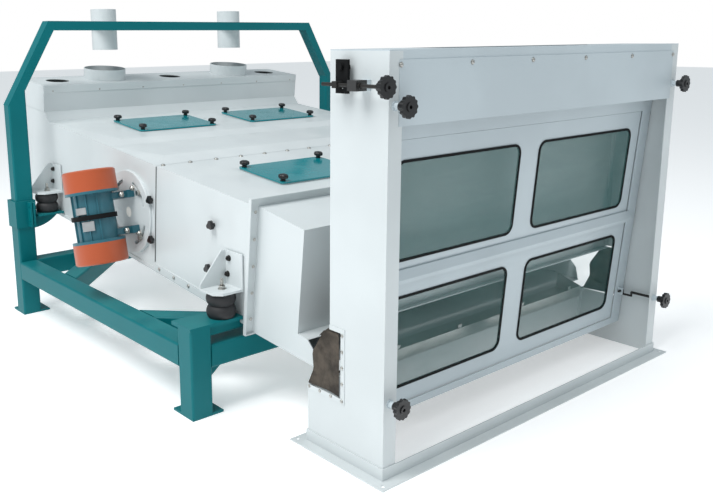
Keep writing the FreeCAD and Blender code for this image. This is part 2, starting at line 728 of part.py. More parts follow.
def motor_rotor():
    """Shaft with its core, and a pair of half-round eccentric weights at each end."""
    shaft = rod(15, (0, 0, -150), (0, 0, 150)).fuse(rod(46, (0, 0, -62), (0, 0, 62)))
    solids = [shaft]
    for side in (-1, 1):
        for k, radius in enumerate((84, 78)):
            z0 = side * (114 + 17 * k)
            weight = rod(radius, (0, 0, z0), (0, 0, z0 + side * 14))
            weight = weight.common(box(-100, 8, -100, 100, -160, 160))
            weight = weight.fuse(rod(30, (0, 0, z0), (0, 0, z0 + side * 14)))
            solids.append(weight.cut(rod(15, (0, 0, -160), (0, 0, 160))).removeSplitter())
    return [motor_frame(solid) for solid in solids]


# ---- aspiration channel -------------------------------------------------------------------
def cheek():
    """Left side sheet with its folded front flange, notched for the canvas sleeve."""
    x = -CHANNEL_HALF
    outline = [(0, 0), (CHANNEL_FOOT, 0), (CHANNEL_FOOT, NOTCH_LOW), (NOTCH_Y, NOTCH_LOW), (NOTCH_Y, NOTCH_TOP),
               (CHANNEL_DEPTH, NOTCH_TOP), (CHANNEL_DEPTH, CHANNEL_TOP - SHEET), (0, CHANNEL_TOP - SHEET)]
    sheet = prism_x(outline, x, x + SHEET)
    flange = box(x, x + FLANGE_W, 0, SHEET, 0, CHANNEL_TOP - SHEET)
    rear = box(x + SHEET, x + 28, CHANNEL_DEPTH - 6, CHANNEL_DEPTH - SHEET, NOTCH_TOP, CHANNEL_TOP - SHEET)
    foot = box(x + SHEET, x + 28, CHANNEL_FOOT - 6, CHANNEL_FOOT - SHEET, 0, NOTCH_LOW - SHEET)
    sheet = sheet.multiFuse([flange, rear, foot])
    for z in (WALL_PIVOT_Z, LOWER_HOOK_Z):
        sheet = sheet.cut(rod(7, (-HOOK_X, -1, z), (-HOOK_X, SHEET + 1, z)))
    return sheet


def channel_cheeks():
    sheet = cheek()
    shaft_hole = rod(9, (-CHANNEL_HALF - 1, DAMPER_Y, DAMPER_Z), (-CHANNEL_HALF + 5, DAMPER_Y, DAMPER_Z))
    return both_sides([sheet.cut(shaft_hole).removeSplitter()])


def base_angles():
    """Angle-iron base round the channel's foot: four bars mitred at the corners."""
    inner_x = CHANNEL_HALF
    outer_x = inner_x + ANGLE
    front = -ANGLE
    rear = CHANNEL_FOOT + ANGLE
    flat = box(-outer_x, outer_x, front, rear, 0, ANGLE_T)
    wall = box(-inner_x - ANGLE_T, inner_x + ANGLE_T, -ANGLE_T, CHANNEL_FOOT + ANGLE_T, 0, ANGLE)
    ring = flat.fuse(wall).cut(box(-inner_x, inner_x, 0, CHANNEL_FOOT, -1, ANGLE + 1))
    for x in (-outer_x + 20, outer_x - 20):
        for y in (front + 18, rear - 14):
            ring = ring.cut(rod(6, (x, y, -1), (x, y, 10)))
    middle = (rear + front) / 2
    deep = middle - front
    tall = (-1, ANGLE + 1)
    ends = [(-outer_x, front), (-outer_x, rear), (-outer_x + deep, middle)]
    left = prism_z(ends, *tall)
    right = mirrored(left)
    long_front = prism_z([(-outer_x, front), (outer_x, front), (outer_x - deep, middle), (-outer_x + deep, middle)],
                         *tall)
    long_rear = prism_z([(-outer_x, rear), (outer_x, rear), (outer_x - deep, middle), (-outer_x + deep, middle)],
                        *tall)
    return [ring.common(part) for part in (left, right, long_front, long_rear)]


def front_cover():
    """Removable plate on the front of the top box."""
    return [box(-713, 713, -2, 0, HEADER_LOW, 1160)]


OUTLET = (-480.0, 480.0, 60.0, 200.0)


def top_box():
    """Folded header and roof sheet of the channel, with the air outlet and its rim."""
    edge = CHANNEL_HALF
    header = box(-edge + FLANGE_W, edge - FLANGE_W, 0, SHEET, HEADER_LOW, CHANNEL_TOP - SHEET)
    lip = box(-edge + FLANGE_W, edge - FLANGE_W, SHEET, 22, HEADER_LOW, HEADER_LOW + SHEET)
    roof = box(-edge, edge, 0, CHANNEL_DEPTH, CHANNEL_TOP - SHEET, CHANNEL_TOP)
    x0, x1, y0, y1 = OUTLET
    rim = box(x0 - 3, x1 + 3, y0 - 3, y1 + 3, CHANNEL_TOP - 20, CHANNEL_TOP)
    return [header.multiFuse([lip, roof, rim]).cut(box(x0, x1, y0, y1, CHANNEL_TOP - 30, CHANNEL_TOP + 1)).removeSplitter()]


def back_panels():
    """Rear sheets above and below the grain inlet; each ends in a folded lip."""
    half = CHANNEL_HALF - SHEET
    upper = box(-half, half, CHANNEL_DEPTH - SHEET, CHANNEL_DEPTH, NOTCH_TOP, CHANNEL_TOP - SHEET)
    upper = upper.fuse(box(-half + 26, half - 26, CHANNEL_DEPTH - 25, CHANNEL_DEPTH - SHEET, NOTCH_TOP, NOTCH_TOP + SHEET))
    lower = box(-half, half, CHANNEL_FOOT - SHEET, CHANNEL_FOOT, 0, NOTCH_LOW)
    lower = lower.fuse(box(-half + 26, half - 26, CHANNEL_FOOT - 28, CHANNEL_FOOT - SHEET,
                           NOTCH_LOW - SHEET, NOTCH_LOW))
    return [upper, lower]


def canvas_sleeve():
    """Soft sleeve from the channel's notch to just short of the hood's spout, open at both ends."""
    half = CHANNEL_HALF + 7
    top = NOTCH_TOP - 4
    low = NOTCH_LOW + 4
    outer = [(NOTCH_Y + 2, top), (232, top), (350, 318), (323, 288), (309, 234), (310, 218), (313, low),
             (NOTCH_Y + 2, low)]
    inner = [(160, top + 14), (222, top + 14), (222, top - 2), (231, top - 3), (360, 308), (360, 219), (306.8, 219),
             (309.5, low + 3), (300, low + 3), (300, low - 4), (160, low - 4)]
    return prism_x(outer, -half, half).cut(prism_x(inner, -half + 3, half - 3))


def sleeve_strip():
    """Flat strips that clamp the canvas round the notch."""
    x0 = -CHANNEL_HALF - 2
    x1 = -CHANNEL_HALF
    upright_bar = box(x0, x1, NOTCH_Y - 16, NOTCH_Y, NOTCH_LOW - 16, NOTCH_TOP + 14)
    top = box(x0, x1, NOTCH_Y, 232, NOTCH_TOP, NOTCH_TOP + 14)
    bottom = box(x0, x1, NOTCH_Y, CHANNEL_FOOT, NOTCH_LOW - 16, NOTCH_LOW)
    return [upright_bar, top.common(box(x0, x1, 0, CHANNEL_DEPTH, 0, 1200)), bottom]


def rod_bushes():
    """Collars on the front flanges and the block on the left cheek, where the screws run."""
    bushes = []
    for z in (WALL_PIVOT_Z, LOWER_HOOK_Z):
        for x in (-HOOK_X, HOOK_X):
            bush = rod(9, (x, -18, z), (x, -3, z)).fuse(rod(13, (x, -3, z), (x, 0, z)))
            bushes.append(bush.cut(rod(5.4, (x, -31, z), (x, 1, z))))
    block = box(-804, -CHANNEL_HALF, 64, 97, DAMPER_ROD_Z - 14, DAMPER_ROD_Z + 14)
    bushes.append(block.cut(rod(5.3, (DAMPER_ROD_X, 60, DAMPER_ROD_Z), (DAMPER_ROD_X, 100, DAMPER_ROD_Z))))
    return bushes


# ---- window wall --------------------------------------------------------------------------
LUG_HOLE_R = 6.6              # loose on the hooks, because the lower ones swing on an arc


def wall_frame():
    """Folded outer frame of the glazed wall: stiles, head, sill and the lugs for the hooks."""
    y0 = WALL_PIVOT_Y
    half = WALL_HALF
    deep = 30.0
    frame = box(-half, half, y0, y0 + deep, WALL_LOW, WALL_TOP)
    frame = frame.cut(box(-half + STILE, half - STILE, y0 - 1, y0 + deep + 1, WALL_LOW + 26, 940))
    frame = frame.cut(box(-half + SHEET, half - SHEET, y0 + SHEET, y0 + deep + 1, WALL_LOW - 1, WALL_TOP - SHEET))
    lugs = []
    for side in (-1, 1):
        for z in (WALL_PIVOT_Z, LOWER_HOOK_Z):
            x = side * (HOOK_X - 20)
            lug = box(x - 2.5, x + 2.5, y0 - 18, y0, z - 14, z + 14)
            lugs.append(lug.cut(rod(LUG_HOLE_R, (x - 5, y0 - 8, z), (x + 5, y0 - 8, z))))
    return [tilt_wall(frame.multiFuse(lugs).removeSplitter())]


WINDOW_X = 338.0
WINDOW_W = 578.0
WINDOW_H = 301.0
WINDOW_R = 36.0
UPPER_Z = 731.0
LOWER_Z = 322.0
RAIL_Z = 525.0


def upright_plate(width, height, radius, thick, x, y, z):
    """Rounded plate standing in the XZ plane, its front face at y."""
    plate = rounded_plate(width, height, radius, thick)
    plate.rotate(V(0, 0, 0), V(1, 0, 0), 90)
    plate.translate(V(x, y + thick, z))
    return plate


def window_panel(z0, z1, centre_z, rail):
    """Sheet panel with two rounded windows; a folded ledge hides the joint at mid height."""
    y = WALL_PIVOT_Y + 5
    half = WALL_HALF - STILE - 2
    panel = box(-half, half, y, y + SHEET, z0, z1)
    if rail:
        front = WALL_PIVOT_Y - 0.6
        ledge = [(front, RAIL_Z - 14), (front - 11, RAIL_Z - 8), (front - 11, RAIL_Z + 4), (front, RAIL_Z + 32)]
        panel = panel.fuse(prism_x(ledge, -half - 14, half + 14))
        panel = panel.fuse(box(-half, half, front, y, RAIL_Z, RAIL_Z + 30))
    for x in (-WINDOW_X, WINDOW_X):
        panel = panel.cut(upright_plate(WINDOW_W, WINDOW_H, WINDOW_R, 12, x, y - 4, centre_z))
    return [tilt_wall(panel.removeSplitter())]


def window_places():
    return [(x, z) for z in (UPPER_Z, LOWER_Z) for x in (-WINDOW_X, WINDOW_X)]


def window_gaskets():
    """Black rubber edging round each pane, standing a little proud of the panel."""
    y = WALL_PIVOT_Y + 2
    rings = []
    for x, z in window_places():
        ring = upright_plate(WINDOW_W, WINDOW_H, WINDOW_R, 6, x, y, z)
        rings.append(tilt_wall(ring.cut(upright_plate(WINDOW_W - 16, WINDOW_H - 16, WINDOW_R - 8, 8, x, y - 1, z))))
    return rings


def window_panes():
    y = WALL_PIVOT_Y + 3
    return [tilt_wall(upright_plate(WINDOW_W - 16, WINDOW_H - 16, WINDOW_R - 8, 4, x, y, z))
            for x, z in window_places()]


def hook_rod(side, z):
    """Threaded rod with a cranked end that passes through the wall's lug."""
    x = side * HOOK_X
    lug_x = side * (HOOK_X - 20)
    lug = tilt_wall(Part.Vertex(lug_x, WALL_PIVOT_Y - 8, z)).Point
    low = lug.z - 16
    turn_y = lug.y - 36
    corners = [(x, turn_y, z), (x, turn_y, low), (x, lug.y, low), (x, lug.y, lug.z)]
    hook = rod(5, (x, -44, z), (x, turn_y, z))
    for start, end in zip(corners, corners[1:] + [(lug_x - side * 12, lug.y, lug.z)]):
        hook = hook.fuse(rod(4, start, end))
        hook = hook.fuse(Part.makeSphere(4, V(*start)))
    return hook


def hook_rods(z):
    return [hook_rod(-1, z), hook_rod(1, z)]


def hand_wheel(x, z, bore, y=WHEEL_Y):
    """Moulded hand wheel with a scalloped rim and a long threaded hub, facing the discharge end."""
    wheel = lobed_disc(12, WHEEL_R, 3, 11)
    wheel.translate(V(0, 0, -5))
    wheel = wheel.fuse(rod(12, (0, 0, -27), (0, 0, 9)))
    wheel = wheel.cut(rod(bore, (0, 0, -30), (0, 0, 10)))
    return [place(wheel, (x, y, z), (0, -1, 0))]


# ---- air damper ---------------------------------------------------------------------------
def damper_blade():
    """Butterfly blade on its shaft, carried by both cheeks under the outlet."""
    shaft = rod(8.9, (-783, DAMPER_Y, DAMPER_Z), (CHANNEL_HALF + 8, DAMPER_Y, DAMPER_Z))
    blade = box(-740, 740, DAMPER_Y - 55, DAMPER_Y + 55, DAMPER_Z - 1.5, DAMPER_Z + 1.5)
    return [shaft.fuse(blade).removeSplitter()]


def damper_lever():
    """Flat lever on the shaft's left end, slotted for the screw's nut."""
    plate = box(-774, -766, DAMPER_Y - 23, DAMPER_Y + 23, 1071, 1160)
    plate = plate.cut(rod(8.95, (-780, DAMPER_Y, DAMPER_Z), (-760, DAMPER_Y, DAMPER_Z)))
    slot = box(-780, -760, DAMPER_Y - 5.6, DAMPER_Y + 5.6, DAMPER_ROD_Z - 12, DAMPER_ROD_Z + 8)
    return [plate.cut(slot)]


def damper_nut():
    """Square nut on the damper screw with the pin that moves the lever."""
    block = box(DAMPER_ROD_X - 9, -776, DAMPER_Y - 9, DAMPER_Y + 9, DAMPER_ROD_Z - 9, DAMPER_ROD_Z + 9)
    block = block.cut(rod(5.1, (DAMPER_ROD_X, DAMPER_Y - 20, DAMPER_ROD_Z), (DAMPER_ROD_X, DAMPER_Y + 20, DAMPER_ROD_Z)))
    pin = rod(4, (-777, DAMPER_Y, DAMPER_ROD_Z), (-758, DAMPER_Y, DAMPER_ROD_Z))
    return [block.fuse(pin)]


def damper_screw():
    screw = rod(5, (DAMPER_ROD_X, -36, DAMPER_ROD_Z), (DAMPER_ROD_X, 205, DAMPER_ROD_Z))
    collars = [rod(8, (DAMPER_ROD_X, y, DAMPER_ROD_Z), (DAMPER_ROD_X, y + 6, DAMPER_ROD_Z)) for y in (57.5, 97.5)]
    return [screw.multiFuse(collars)]


def main():
    os.makedirs("parts", exist_ok=True)
    export("foot_plates", foot_plates())
    export("frame_legs", frame_legs())
    export("frame_beams", frame_beams())
    export("frame_braces", corner_braces() + leg_gussets())
    export("spring_arms", spring_arms())
    export("gantry_posts", gantry_posts())
    export("gantry_arch", gantry_arch())
    export("splice_collars", splice_collars())
    export("front_springs", springs(SPRING_FRONT_Y, ARM_TOP))
    export("rear_springs", springs(SPRING_REAR_Y, SHELF_TOP))
    export("inlet_pipes", inlet_pipes())
    export("side_panels", side_panels())
    export("bottom_pan", bottom_pan())
    export("main_deck", main_deck())
    export("front_deck", front_deck())
    export("feed_box", feed_box())
    export("discharge_hood", discharge_hood())
    export("feed_lip", feed_lip())
    export("spring_brackets", spring_brackets())
    export("sieve_frames", sieve_frame(500) + sieve_frame(640))
    export("sieve_screens", [sieve_screen(500), sieve_screen(640)])
    export("side_knobs", side_knobs())
    export("disc_pins", both_sides(disc_pins()))
    for end, y, seat in (("rear", HATCH_REAR_Y, REAR_SEAT), ("front", HATCH_FRONT_Y, FRONT_SEAT)):
        export(end + "_left_hatch", hatch(-HATCH_X, y, seat))
        export(end + "_right_hatch", hatch(HATCH_X, y, seat))
    for node, shapes in (("motor_disc", [motor_disc()]), ("motor_body", motor_body()),
                         ("motor_covers", motor_covers()), ("motor_cable", [cable_wrap()]),
                         ("motor_rotor", motor_rotor())):
        export("left_" + node, shapes)
        export("right_" + node, [mirrored(shape) for shape in shapes])
    export("channel_cheeks", channel_cheeks())
    export("base_angles", base_angles())
    export("front_cover", front_cover())
    export("top_box", top_box())
    export("back_panels", back_panels())
    export("canvas_sleeve", [canvas_sleeve()])
    export("sleeve_strips", both_sides(sleeve_strip()))
    export("rod_bushes", rod_bushes())
    export("wall_frame", wall_frame())
    export("upper_panel", window_panel(RAIL_Z, 938, UPPER_Z, True))
    export("lower_panel", window_panel(WALL_LOW + 28, RAIL_Z - 14, LOWER_Z, False))
    export("window_gaskets", window_gaskets())
    export("window_panes", window_panes())
    export("upper_hook_rods", hook_rods(WALL_PIVOT_Z))
    export("lower_hook_rods", hook_rods(LOWER_HOOK_Z))
    export("upper_left_wheel", hand_wheel(-HOOK_X, WALL_PIVOT_Z, 5.05))
    export("upper_right_wheel", hand_wheel(HOOK_X, WALL_PIVOT_Z, 5.05))
    export("lower_left_wheel", hand_wheel(-HOOK_X, LOWER_HOOK_Z, 5.05))
    export("lower_right_wheel", hand_wheel(HOOK_X, LOWER_HOOK_Z, 5.05))
    export("damper_wheel", hand_wheel(DAMPER_ROD_X, DAMPER_ROD_Z, 5.0, -32))
    export("damper_screw", damper_screw())
    export("damper_nut", damper_nut())
    export("damper_flap", damper_blade() + damper_lever())


main()
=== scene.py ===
import math

import bmesh
import bpy
from mathutils import Matrix, Vector


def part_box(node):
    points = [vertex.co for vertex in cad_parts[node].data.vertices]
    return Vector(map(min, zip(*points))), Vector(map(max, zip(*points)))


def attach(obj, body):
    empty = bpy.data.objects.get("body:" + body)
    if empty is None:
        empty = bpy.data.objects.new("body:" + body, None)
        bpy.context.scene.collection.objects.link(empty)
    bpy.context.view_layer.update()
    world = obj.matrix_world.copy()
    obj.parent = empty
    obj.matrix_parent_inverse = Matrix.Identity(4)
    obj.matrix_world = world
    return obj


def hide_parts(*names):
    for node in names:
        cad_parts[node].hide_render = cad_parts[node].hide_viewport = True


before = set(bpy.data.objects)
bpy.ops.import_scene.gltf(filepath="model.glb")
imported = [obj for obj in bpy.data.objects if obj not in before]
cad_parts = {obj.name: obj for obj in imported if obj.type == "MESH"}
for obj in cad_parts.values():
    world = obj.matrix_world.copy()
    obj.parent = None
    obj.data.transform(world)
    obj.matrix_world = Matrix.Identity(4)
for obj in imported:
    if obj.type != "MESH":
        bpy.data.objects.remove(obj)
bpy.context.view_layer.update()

# ---------------------------------------------------------------------------------------------
# View. The machine stands in a bright hall, seen from the front left at chest height, a little
# from above, with a normal lens.
# ---------------------------------------------------------------------------------------------
CHANNEL_FRONT = -1.205        # where the channel's front face lies along Y
eye = Vector((-2.2746, CHANNEL_FRONT - 1.4634, 1.2162))
yaw, pitch, roll = (math.radians(a) for a in (-39.33, -11.99, -0.454))
SENSOR_WIDTH, LENS_LENGTH = 36.0, 41.665077      # millimetres
LENS_SHIFT = (0.09312763, -0.05259467)           # shares of the picture's width

forward = Vector((-math.sin(yaw) * math.cos(pitch), math.cos(yaw) * math.cos(pitch), math.sin(pitch)))
right = Vector((math.cos(yaw), math.sin(yaw), 0.0))
up = right.cross(forward)
right_rolled = right * math.cos(roll) + up * math.sin(roll)
up_rolled = up * math.cos(roll) - right * math.sin(roll)

camera_data = bpy.data.cameras.new("view")
camera_data.sensor_width = SENSOR_WIDTH
camera_data.lens = LENS_LENGTH
camera_data.shift_x, camera_data.shift_y = LENS_SHIFT
camera_data.clip_start = 0.05
camera_data.clip_end = 60
camera = bpy.data.objects.new("view", camera_data)
bpy.context.scene.collection.objects.link(camera)
axes = Matrix((right_rolled, up_rolled, -forward)).transposed()
camera.matrix_world = Matrix.Translation(eye) @ axes.to_4x4()
bpy.context.scene.camera = camera


# ---------------------------------------------------------------------------------------------
# Shader maths. A socket that can be added, multiplied and compared like a number, so that each
# finish below reads as a sum of its layers. An input is named, or numbered as i0, i1 and so on.
# ---------------------------------------------------------------------------------------------
class Value:
    """One output of a node, inside the material it belongs to."""

    def __init__(self, tree, socket):
        self.tree = tree
        self.socket = socket

    def node(self, kind, settings=None, **sockets):
        """Add a node of any kind; its inputs take numbers, colours or other values."""
        made = self.tree.nodes.new(kind)
        for key, value in (settings or {}).items():
            setattr(made, key, value)
        for name, value in sockets.items():
            numbered = name[0] == "i" and name[1:].isdigit()
            entry = made.inputs[int(name[1:]) if numbered else name.replace("_", " ")]
            if isinstance(value, Value):
                self.tree.links.new(value.socket, entry)
            else:
                entry.default_value = value
        return made

    def out(self, kind, settings=None, output=0, **sockets):
        return Value(self.tree, self.node(kind, settings, **sockets).outputs[output])

    def maths(self, operation, *values):
        names = {"i%d" % i: v for i, v in enumerate(values)}
        return self.out("ShaderNodeMath", {"operation": operation}, **names)

    def __add__(self, other):
        return self.maths("ADD", self, other)

    def __mul__(self, other):
        return self.maths("MULTIPLY", self, other)

    def __lt__(self, other):
        return self.maths("LESS_THAN", self, other)

    __radd__ = __add__
    __rmul__ = __mul__

    def span(self, low, high):
        """0 at low, 1 at high, smooth between."""
        return self.out("ShaderNodeMapRange", {"interpolation_type": "SMOOTHSTEP"}, Value=self,
                        From_Min=low, From_Max=high)

    def axis(self, index):
        return self.out("ShaderNodeSeparateXYZ", output=index, Vector=self)

    def noise(self, scale, detail=2.0, rough=0.5):
        return self.out("ShaderNodeTexNoise", Vector=self, Scale=scale, Detail=detail, Roughness=rough)

    def stretched(self, x, y, z):
        return self.out("ShaderNodeMapping", Vector=self, Scale=(x, y, z))

    def mix(self, low, high):
        """Colour that goes from low to high with this value."""
        return self.out("ShaderNodeMix", {"data_type": "RGBA"}, output=2, Factor=self,
                        i6=(*low, 1.0) if isinstance(low, tuple) else low,
                        i7=(*high, 1.0) if isinstance(high, tuple) else high)


def srgb(code):
    """Linear colour of an sRGB hex code."""
    parts = [int(code[i:i + 2], 16) / 255 for i in (0, 2, 4)]
    return tuple(c / 12.92 if c <= 0.04045 else ((c + 0.055) / 1.055) ** 2.4 for c in parts)


def finish(name, **constants):
    """New material; gives its place on the object, its shader and the constants set on it."""
    material = bpy.data.materials.new(name)
    material.use_nodes = True
    tree = material.node_tree
    shader = tree.nodes["Principled BSDF"]
    for key, value in constants.items():
        shader.inputs[key.replace("_", " ")].default_value = value
    coordinates = tree.nodes.new("ShaderNodeTexCoord")
    return material, Value(tree, coordinates.outputs["Object"]), shader


def feed(shader, **values):
    for key, value in values.items():
        shader.id_data.links.new(value.socket, shader.inputs[key.replace("_", " ")])


def bump(place, height, distance, strength):
    return place.out("ShaderNodeBump", Height=height, Distance=distance, Strength=strength)


def dress(material, *nodes):
    """Give CAD nodes their finish."""
    for node in nodes:
        mesh = bpy.data.objects[node].data
        mesh.materials.clear()
        mesh.materials.append(material)


# ---------------------------------------------------------------------------------------------
# Paints. Each one is satin, with a little orange peel, a slow drift in its shade and a film of
# dust on the faces that look up.
# ---------------------------------------------------------------------------------------------
def sprayed(name, colour, dusty, roughness=0.38, peel=0.00006, coat=0.25, dust_most=0.3, shine=0.5):
    material, place, shader = finish(name, Coat_Weight=coat, Coat_Roughness=0.12, Specular_IOR_Level=shine)
    cloud = place.noise(2.2, 3.0, 0.55)
    fine = place.noise(900.0, 2.0)
    film = place.noise(9.0, 5.0, 0.6)
    facing = place.out("ShaderNodeNewGeometry", output=1).axis(2)
    dust = facing.span(0.55, 1.0) * film.span(0.3, 0.75)
    deep = tuple(c * 0.93 for c in colour)
    feed(shader, Base_Color=(dust * dust_most).mix(cloud.span(0.35, 0.65).mix(deep, colour), dusty),
         Roughness=fine * 0.06 + dust * 0.15 + (roughness - 0.03),
         Normal=bump(place, fine, peel, 0.5))
    return material


def plain(name, colour, roughness, metallic=0.0, grain=700.0, depth=0.00004, spread=0.12, **more):
    """Finish of one colour that drifts a little, with a fine grain on its surface."""
    material, place, shader = finish(name, Metallic=metallic, **more)
    slow = place.noise(14.0, 4.0, 0.6).span(0.3, 0.7)
    fine = place.noise(grain, 3.0, 0.6)
    dark = tuple(c * (1 - spread) for c in colour)
    feed(shader, Base_Color=slow.mix(dark, colour), Roughness=fine * 0.1 + slow * 0.05 + (roughness - 0.07),
         Normal=bump(place, fine, depth, 0.6))
    return material


frame_teal = sprayed("frame_teal", srgb("006e74"), srgb("4f9a98"), 0.45, coat=0.0, dust_most=0.25, shine=0.22)
panel_white = sprayed("panel_white", srgb("d6dcdd"), srgb("d9dad6"), 0.36, 0.00004, 0.15, 0.12)
hatch_teal = sprayed("hatch_teal", srgb("00868f"), srgb("6fb0b0"), 0.12, 0.000001, 0.3, 0.03)
motor_teal = sprayed("motor_teal", srgb("2b6674"), srgb("7d9698"), 0.38, 0.0003, 0.2)
cover_orange = sprayed("cover_orange", srgb("b8552f"), srgb("cfa08a"), 0.36, 0.00005, 0.15)
rubber = plain("spring_rubber", (0.022, 0.022, 0.024), 0.62, depth=0.0002)
moulded = plain("knob_black", (0.012, 0.012, 0.013), 0.34)
gasket = plain("gasket_black", (0.004, 0.0045, 0.005), 0.7, Specular_IOR_Level=0.2)
zinc = plain("bolt_steel", (0.56, 0.55, 0.52), 0.34, 1.0, 1200.0, 0.00003, 0.25)
dark_steel = plain("hook_steel", (0.035, 0.033, 0.031), 0.45, 0.6)
screen_steel = plain("screen_steel", (0.62, 0.62, 0.6), 0.32, 1.0)
iron = plain("weight_iron", (0.2, 0.2, 0.2), 0.4, 1.0)
wood = plain("sieve_wood", (0.48, 0.31, 0.16), 0.6, 0.0, 300.0, 0.0003, 0.3)
plate_grey = plain("plate_grey", (0.55, 0.56, 0.56), 0.3, 0.8)
# Dark grey for the painted shadow in the seam on each flank.
seam_painted_shadow = plain("seam_painted_shadow", (0.16, 0.17, 0.17), 0.6)

# The channel's front parts get the panels' sprayed white made darker and bluer, as painted shade on these
# front-facing parts; the rod bushes take this painted-shade white too, and the damper's bush at the left end
# is dark.
DAMPER_BUSH_EDGE = -0.765
front_white_painted_shade = sprayed("front_white_painted_shade", srgb("c5d0d5"), srgb("cfd3d3"), 0.36, 0.00004, 0.15, 0.12)
bush_paint, bush_place, bush_shader = finish("bush_paint", Roughness=0.4)
is_damper = bush_place.axis(0) < DAMPER_BUSH_EDGE
# Apart from the dark damper bush, the bushes take the darker, bluer white of the painted shade.
feed(bush_shader, Base_Color=is_damper.mix(srgb("c5d0d5"), (0.03, 0.03, 0.03)))

# The panes are thin and a little green, and pass most of the light.
glass, glass_place, glass_shader = finish("pane_glass", Roughness=0.03, IOR=1.45)
glass_shader.inputs["Base Color"].default_value = (0.11, 0.26, 0.25, 1)
smear = glass_place.stretched(3, 3, 9).noise(1.5, 4.0, 0.6)
upper_half = glass_place.axis(2).span(0.5, 0.56)
shading = Value(glass.node_tree, glass.node_tree.nodes.new("ShaderNodeLightPath").outputs["Is Shadow Ray"])
feed(glass_shader, Alpha=smear * 0.16 + upper_half * 0.14 + shading * 0.45 + 0.08)

for paint, names in (
        (frame_teal, ("foot_plates", "frame_legs", "frame_beams", "frame_braces", "spring_arms",
                      "gantry_posts", "gantry_arch", "splice_collars")),
        (panel_white, ("side_panels", "bottom_pan", "main_deck", "front_deck", "feed_box", "discharge_hood",
                       "spring_brackets", "left_motor_disc", "right_motor_disc", "channel_cheeks",
                       "base_angles", "back_panels", "sleeve_strips", "inlet_pipes")),
        # The channel's front parts take the darker, bluer white that is their painted shade.
        (front_white_painted_shade, ("front_cover", "top_box", "wall_frame", "upper_panel", "lower_panel")),
        (bush_paint, ("rod_bushes",)),
        (hatch_teal, ("rear_left_hatch", "rear_right_hatch", "front_left_hatch", "front_right_hatch")),
        (motor_teal, ("left_motor_body", "right_motor_body")),
        (cover_orange, ("left_motor_covers", "right_motor_covers")),
        (rubber, ("front_springs", "rear_springs")),
        (gasket, ("window_gaskets", "left_motor_cable", "right_motor_cable", "damper_flap")),
        (moulded, ("side_knobs", "upper_left_wheel", "upper_right_wheel", "lower_left_wheel",
                   "lower_right_wheel", "damper_wheel")),
        (dark_steel, ("upper_hook_rods", "lower_hook_rods", "damper_screw", "damper_nut")),
        (zinc, ("disc_pins",)),
        (screen_steel, ("sieve_screens", "feed_lip")),
        (iron, ("left_motor_rotor", "right_motor_rotor")),
        (wood, ("sieve_frames",)),
        (glass, ("window_panes",))):
    dress(paint, *names)


# ---------------------------------------------------------------------------------------------
# Places. The sieve body is drawn level and then inclined about its pivot, as on the machine. The
# pieces below are drawn in millimetres, with Y from the channel's front face, and these matrices
# bring them to their place in the frame.
# ---------------------------------------------------------------------------------------------
MIDDLE_Y = 1205.0             # from the channel's front face to the frame's origin
PIVOT_Y, DECK = 1300.0, 768.0
BODY_INCLINE = 5.74
level = Matrix.Translation((0, (PIVOT_Y - MIDDLE_Y) / 1000, DECK / 1000)) \
    @ Matrix.Rotation(math.radians(BODY_INCLINE), 4, "X") \
    @ Matrix.Translation((0, -PIVOT_Y / 1000, -DECK / 1000))
upright = Matrix.Translation((0, -MIDDLE_Y / 1000, 0))


def turned(x, y, z, axis, spin=0.0):
    """Stands a shape that is built up along +Z at a place, facing along an axis."""
    facing = Vector(axis).to_track_quat("Z", "Y").to_matrix().to_4x4()
    spun = Matrix.Rotation(math.radians(spin), 4, "Z")
    return Matrix.Translation((x / 1000, y / 1000, z / 1000)) @ facing @ spun


def circle(radius, angle):
    return radius


def stack(mesh, where, rings, sides, flat=False, outline=circle):
    """Adds a closed turned shape: rings of (radius, height) in millimetres, from the bottom up.

    Another outline gives the reach at an angle from the number that stands first in each ring."""
    loops = []
    for radius, height in rings:
        loop = []
        for k in range(sides):
            angle = 2 * math.pi * k / sides
            reach = outline(radius, angle)
            corner = Vector((reach * math.cos(angle), reach * math.sin(angle), height)) / 1000
            loop.append(mesh.verts.new(where @ corner))
        loops.append(loop)
    mesh.faces.new(list(reversed(loops[0])))
    for low, high in zip(loops, loops[1:]):
        for k in range(sides):
            after = (k + 1) % sides
            mesh.faces.new((low[k], low[after], high[after], high[k])).smooth = not flat
    mesh.faces.new(loops[-1])


def slab(mesh, where, low, high):
    """Adds a box between two corners given in millimetres."""
    corners = [where @ Vector((x / 1000, y / 1000, z / 1000)) for x in (low[0], high[0])
               for y in (low[1], high[1]) for z in (low[2], high[2])]
    v = [mesh.verts.new(c) for c in corners]
    for a, b, c, d in ((0, 1, 3, 2), (4, 6, 7, 5), (0, 4, 5, 1), (2, 3, 7, 6), (0, 2, 6, 4), (1, 5, 7, 3)):
        mesh.faces.new((v[a], v[b], v[c], v[d]))


def keep(mesh, name, body, material, bevel=0.0):
    """Turns a finished mesh into a piece that rides on a body."""
    data = bpy.data.meshes.new(name)
    mesh.to_mesh(data)
    mesh.free()
    data.materials.append(material)
    thing = bpy.data.objects.new(name, data)
    bpy.context.scene.collection.objects.link(thing)
    if bevel:
        edge = thing.modifiers.new("edge", "BEVEL")
        edge.width = bevel
        edge.segments = 2
        edge.limit_method = "ANGLE"
    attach(thing, body)
    return thing


def nut(mesh, where, size):
    """Hexagon nut on a washer, with the thread's end standing out of it."""
    washer = [(size * 1.15, 0), (size * 1.15, size * 0.18)]
    hexagon = [(size * 0.9, size * 0.18), (size, size * 0.3), (size, size * 0.85), (size * 0.9, size)]
    thread = [(size * 0.5, size), (size * 0.5, size * 1.3), (size * 0.42, size * 1.4)]
    stack(mesh, where, washer, 20)
    stack(mesh, where, hexagon, 6, flat=True)
    stack(mesh, where, thread, 14)


